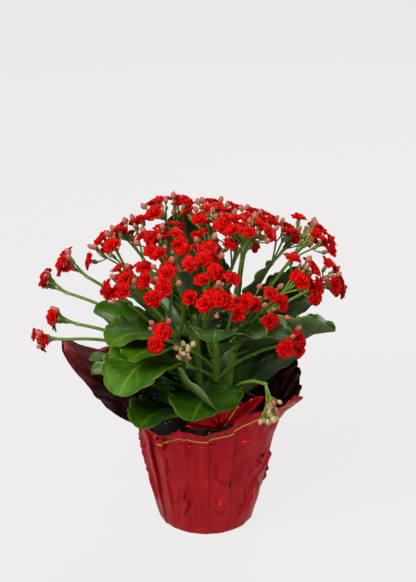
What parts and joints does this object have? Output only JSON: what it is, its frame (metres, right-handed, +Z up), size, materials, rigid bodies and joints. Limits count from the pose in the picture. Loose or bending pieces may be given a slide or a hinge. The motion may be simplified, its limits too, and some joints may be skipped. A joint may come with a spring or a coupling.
{
  "type": "potted kalanchoe",
  "caption": "Bushy flowering kalanchoe with scalloped fleshy leaves and a dome of double florets, in a nursery pot inside a flared, pleated foil pot cover.",
  "frame": {"origin": "centre of the pot cover's flat foot, on the surface it stands on", "axes": "+Z up the pot's axis, -Y towards the front, +X to the front's right"},
  "size_m": [0.2683, 0.2145, 0.2954],
  "materials": {
    "foil": "metallised film, satin",
    "pot": "moulded, matt",
    "peat": "loose, moist",
    "leaf": "fleshy, satin",
    "petal": "soft, matt"
  },
  "bodies": {
    "root": {"pot_cover": "foil", "nursery_pot": "pot", "peat": "peat", "plant_1": "leaf", "plant_2": "leaf", "plant_3": "leaf", "plant_4": "leaf"}
  },
  "joints": []
}
